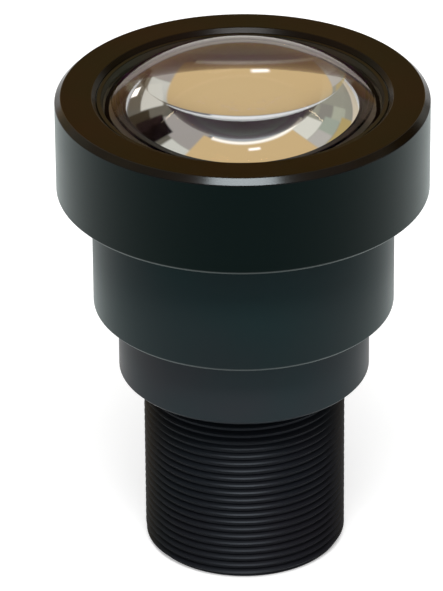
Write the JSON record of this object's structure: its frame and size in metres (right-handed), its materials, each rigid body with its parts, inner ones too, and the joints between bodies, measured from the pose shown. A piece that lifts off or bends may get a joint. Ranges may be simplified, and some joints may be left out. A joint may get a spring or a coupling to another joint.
{
  "type": "board camera lens",
  "caption": "Long board camera lens: domed front glass in a wide head, stepping down to a fine mounting thread.",
  "frame": {"origin": "centre of the rear end face of the threaded tube, on the optical axis; the lens stands on that face", "axes": "+Z along the optical axis, out of the front glass; +Y towards one pair of spanner slots in the front ring"},
  "size_m": [0.022, 0.022, 0.0318],
  "materials": {
    "black_anodised_aluminium": "satin black anodised",
    "coated_lens_glass": "polished, anti-reflection coated",
    "filter_glass": "polished, faint cyan infrared-cut coating",
    "black_film": "matt black polyester film",
    "black_stop_steel": "chemically blackened thin sheet",
    "brass_shim": "rolled",
    "black_rubber": "matt"
  },
  "bodies": {
    "root": {"front_barrel": "black_anodised_aluminium", "front_retaining_ring": "black_anodised_aluminium", "lens_element_1": "coated_lens_glass", "spacer_ring_1_2": "black_anodised_aluminium", "lens_element_2": "coated_lens_glass", "spacer_ring_2_3": "black_anodised_aluminium", "lens_element_3": "coated_lens_glass", "lens_element_4": "coated_lens_glass", "glare_stop_washer": "black_film", "aperture_stop": "black_stop_steel", "stop_retaining_ring": "black_anodised_aluminium", "air_space_shim": "brass_shim", "rear_barrel": "black_anodised_aluminium", "lens_element_5": "coated_lens_glass", "spacer_ring_5_6": "black_anodised_aluminium", "lens_element_6": "coated_lens_glass", "rear_spacer_tube": "black_anodised_aluminium", "ir_cut_filter": "filter_glass", "filter_cushion_ring": "black_rubber", "rear_retaining_ring": "black_anodised_aluminium"}
  },
  "joints": []
}
